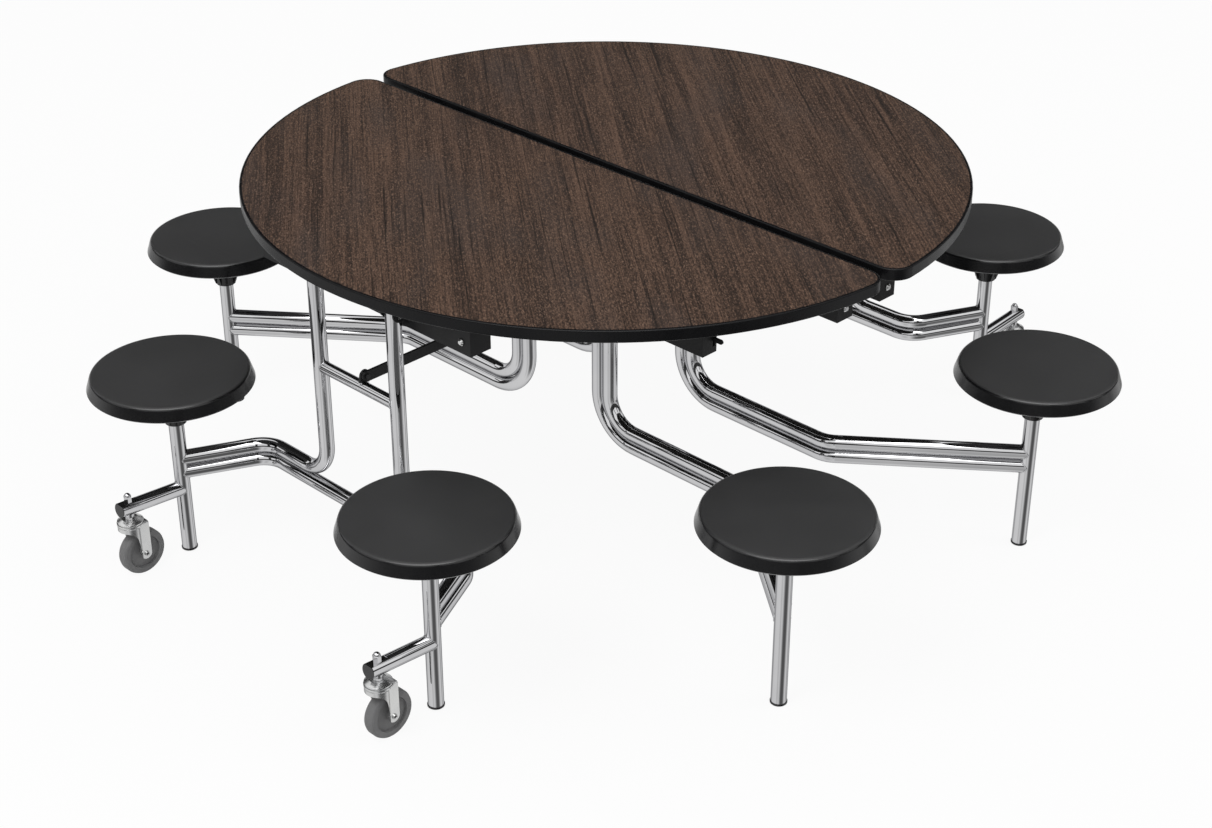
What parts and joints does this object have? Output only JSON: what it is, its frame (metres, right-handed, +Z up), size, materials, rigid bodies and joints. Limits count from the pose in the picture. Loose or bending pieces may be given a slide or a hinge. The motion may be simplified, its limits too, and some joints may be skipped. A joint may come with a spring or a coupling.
{
  "type": "table with attached swivel seats",
  "caption": "Folding round table in two half tops on bent chrome tube frames, with attached swivel stools and casters.",
  "frame": {"origin": "on the floor under the centre of the table, with the table open", "axes": "+Z up; the split between the half tops runs along Y; the outer legs and casters lie along X"},
  "size_m": [2.064, 2.04, 0.737],
  "materials": {
    "top_board": "particleboard core, raw underside sealed in black",
    "walnut_laminate": "matt walnut-grain laminate",
    "edge_band": "black moulded edge",
    "black_steel": "black powder coat",
    "zinc_steel": "bright zinc plate",
    "chrome_tube": "polished chrome plate",
    "black_plastic": "black moulded plastic, satin",
    "grey_rubber": "grey non-marking rubber"
  },
  "bodies": {
    "west_outer_frame": {"west_outer_legs": "chrome_tube", "west_outer_stretcher": "chrome_tube", "west_outer_crossbar": "chrome_tube", "west_outer_posts": "chrome_tube", "west_caster_arms": "chrome_tube", "west_outer_caps": "black_plastic"},
    "west_top": {"west_table_board": "top_board", "west_table_laminate": "walnut_laminate", "west_edge_band": "edge_band", "west_leg_channel": "black_steel", "west_mid_channels": "black_steel", "west_edge_rail": "black_steel", "west_pivot_brackets": "black_steel", "west_pivot_pins": "zinc_steel", "west_hinge_leaves": "black_steel"},
    "west_inner_frame": {"west_inner_arm_tubes": "chrome_tube", "west_inner_posts": "chrome_tube", "west_inner_crossbar": "chrome_tube", "west_inner_glides": "black_plastic"},
    "west_link": {"west_fold_link": "black_steel"},
    "west_latch": {"west_latch_lever": "black_steel"},
    "east_outer_frame": {"east_outer_legs": "chrome_tube", "east_outer_stretcher": "chrome_tube", "east_outer_crossbar": "chrome_tube", "east_outer_posts": "chrome_tube", "east_caster_arms": "chrome_tube", "east_outer_caps": "black_plastic"},
    "east_top": {"east_table_board": "top_board", "east_table_laminate": "walnut_laminate", "east_edge_band": "edge_band", "east_leg_channel": "black_steel", "east_mid_channels": "black_steel", "east_edge_rail": "black_steel", "east_pivot_brackets": "black_steel", "east_pivot_pins": "zinc_steel", "east_hinge_leaves": "black_steel"},
    "east_inner_frame": {"east_inner_arm_tubes": "chrome_tube", "east_inner_posts": "chrome_tube", "east_inner_crossbar": "chrome_tube", "east_inner_glides": "black_plastic"},
    "east_link": {"east_fold_link": "black_steel"},
    "east_latch": {"east_latch_lever": "black_steel"},
    "west_outer_north_stool": {"west_outer_north_seat": "black_plastic"},
    "west_outer_north_caster": {"west_outer_north_fork": "zinc_steel"},
    "west_outer_north_roller": {"west_outer_north_wheel": "grey_rubber"},
    "west_outer_south_stool": {"west_outer_south_seat": "black_plastic"},
    "west_outer_south_caster": {"west_outer_south_fork": "zinc_steel"},
    "west_outer_south_roller": {"west_outer_south_wheel": "grey_rubber"},
    "west_inner_north_stool": {"west_inner_north_seat": "black_plastic"},
    "west_inner_south_stool": {"west_inner_south_seat": "black_plastic"},
    "east_outer_north_stool": {"east_outer_north_seat": "black_plastic"},
    "east_outer_north_caster": {"east_outer_north_fork": "zinc_steel"},
    "east_outer_north_roller": {"east_outer_north_wheel": "grey_rubber"},
    "east_outer_south_stool": {"east_outer_south_seat": "black_plastic"},
    "east_outer_south_caster": {"east_outer_south_fork": "zinc_steel"},
    "east_outer_south_roller": {"east_outer_south_wheel": "grey_rubber"},
    "east_inner_north_stool": {"east_inner_north_seat": "black_plastic"},
    "east_inner_south_stool": {"east_inner_south_seat": "black_plastic"}
  },
  "joints": [
    {"name": "fold", "type": "hinge", "parent": "west_outer_frame", "child": "west_top", "pos_m": [-0.69, 0, 0.682], "axis": [0, -1, 0], "range_deg": [0, 76]},
    {"name": "centre_hinge", "type": "hinge", "parent": "west_top", "child": "east_top", "pos_m": [0, 0, 0.646], "axis": [0, 1, 0], "range_deg": [0, 152]},
    {"name": "east_leg_fold", "type": "hinge", "parent": "east_top", "child": "east_outer_frame", "pos_m": [0.69, 0, 0.682], "axis": [0, -1, 0], "range_deg": [0, 76]},
    {"name": "west_inner_fold", "type": "hinge", "parent": "west_top", "child": "west_inner_frame", "pos_m": [-0.13, 0, 0.682], "axis": [0, 1, 0], "range_deg": [0, 76]},
    {"name": "east_inner_fold", "type": "hinge", "parent": "east_top", "child": "east_inner_frame", "pos_m": [0.13, 0, 0.682], "axis": [0, -1, 0], "range_deg": [0, 76]},
    {"name": "west_link_swing", "type": "hinge", "parent": "west_outer_frame", "child": "west_link", "pos_m": [-0.685, -0.02, 0.5052], "axis": [0, -1, 0], "range_deg": [0, 76]},
    {"name": "east_link_swing", "type": "hinge", "parent": "east_outer_frame", "child": "east_link", "pos_m": [0.685, 0.02, 0.5052], "axis": [0, 1, 0], "range_deg": [0, 76]},
    {"name": "west_latch_press", "type": "hinge", "parent": "west_top", "child": "west_latch", "pos_m": [-0.3385, -0.592, 0.676], "axis": [1, 0, 0], "range_deg": [0, 14], "stiffness_Nm_per_rad": 0.5},
    {"name": "east_latch_press", "type": "hinge", "parent": "east_top", "child": "east_latch", "pos_m": [0.3385, 0.592, 0.676], "axis": [-1, 0, 0], "range_deg": [0, 14], "stiffness_Nm_per_rad": 0.5},
    {"name": "west_outer_north_swivel", "type": "hinge", "parent": "west_outer_frame", "child": "west_outer_north_stool", "pos_m": [-0.862, 0.394, 0.4], "axis": [0, 0, 1], "continuous": true},
    {"name": "west_outer_north_caster_swivel", "type": "hinge", "parent": "west_outer_frame", "child": "west_outer_north_caster", "pos_m": [-0.997, 0.394, 0.126], "axis": [0, 0, 1], "continuous": true},
    {"name": "west_outer_north_wheel_spin", "type": "hinge", "parent": "west_outer_north_caster", "child": "west_outer_north_roller", "pos_m": [-0.979, 0.394, 0.05], "axis": [0, 1, 0], "continuous": true},
    {"name": "west_outer_south_swivel", "type": "hinge", "parent": "west_outer_frame", "child": "west_outer_south_stool", "pos_m": [-0.862, -0.394, 0.4], "axis": [0, 0, 1], "continuous": true},
    {"name": "west_outer_south_caster_swivel", "type": "hinge", "parent": "west_outer_frame", "child": "west_outer_south_caster", "pos_m": [-0.997, -0.394, 0.126], "axis": [0, 0, 1], "continuous": true},
    {"name": "west_outer_south_wheel_spin", "type": "hinge", "parent": "west_outer_south_caster", "child": "west_outer_south_roller", "pos_m": [-0.979, -0.394, 0.05], "axis": [0, 1, 0], "continuous": true},
    {"name": "west_inner_north_swivel", "type": "hinge", "parent": "west_inner_frame", "child": "west_inner_north_stool", "pos_m": [-0.394, 0.85, 0.4], "axis": [0, 0, 1], "continuous": true},
    {"name": "west_inner_south_swivel", "type": "hinge", "parent": "west_inner_frame", "child": "west_inner_south_stool", "pos_m": [-0.394, -0.85, 0.4], "axis": [0, 0, 1], "continuous": true},
    {"name": "east_outer_north_swivel", "type": "hinge", "parent": "east_outer_frame", "child": "east_outer_north_stool", "pos_m": [0.862, 0.394, 0.4], "axis": [0, 0, 1], "continuous": true},
    {"name": "east_outer_north_caster_swivel", "type": "hinge", "parent": "east_outer_frame", "child": "east_outer_north_caster", "pos_m": [0.997, 0.394, 0.126], "axis": [0, 0, 1], "continuous": true},
    {"name": "east_outer_north_wheel_spin", "type": "hinge", "parent": "east_outer_north_caster", "child": "east_outer_north_roller", "pos_m": [0.979, 0.394, 0.05], "axis": [0, 1, 0], "continuous": true},
    {"name": "east_outer_south_swivel", "type": "hinge", "parent": "east_outer_frame", "child": "east_outer_south_stool", "pos_m": [0.862, -0.394, 0.4], "axis": [0, 0, 1], "continuous": true},
    {"name": "east_outer_south_caster_swivel", "type": "hinge", "parent": "east_outer_frame", "child": "east_outer_south_caster", "pos_m": [0.997, -0.394, 0.126], "axis": [0, 0, 1], "continuous": true},
    {"name": "east_outer_south_wheel_spin", "type": "hinge", "parent": "east_outer_south_caster", "child": "east_outer_south_roller", "pos_m": [0.979, -0.394, 0.05], "axis": [0, 1, 0], "continuous": true},
    {"name": "east_inner_north_swivel", "type": "hinge", "parent": "east_inner_frame", "child": "east_inner_north_stool", "pos_m": [0.394, 0.85, 0.4], "axis": [0, 0, 1], "continuous": true},
    {"name": "east_inner_south_swivel", "type": "hinge", "parent": "east_inner_frame", "child": "east_inner_south_stool", "pos_m": [0.394, -0.85, 0.4], "axis": [0, 0, 1], "continuous": true}
  ],
  "couplings": [
    {"joint": "centre_hinge", "follows": "fold", "ratio": 2},
    {"joint": "east_leg_fold", "follows": "fold", "ratio": 1},
    {"joint": "west_inner_fold", "follows": "fold", "ratio": 1},
    {"joint": "east_inner_fold", "follows": "fold", "ratio": 1},
    {"joint": "west_link_swing", "follows": "fold", "ratio": 1},
    {"joint": "east_link_swing", "follows": "fold", "ratio": 1}
  ]
}
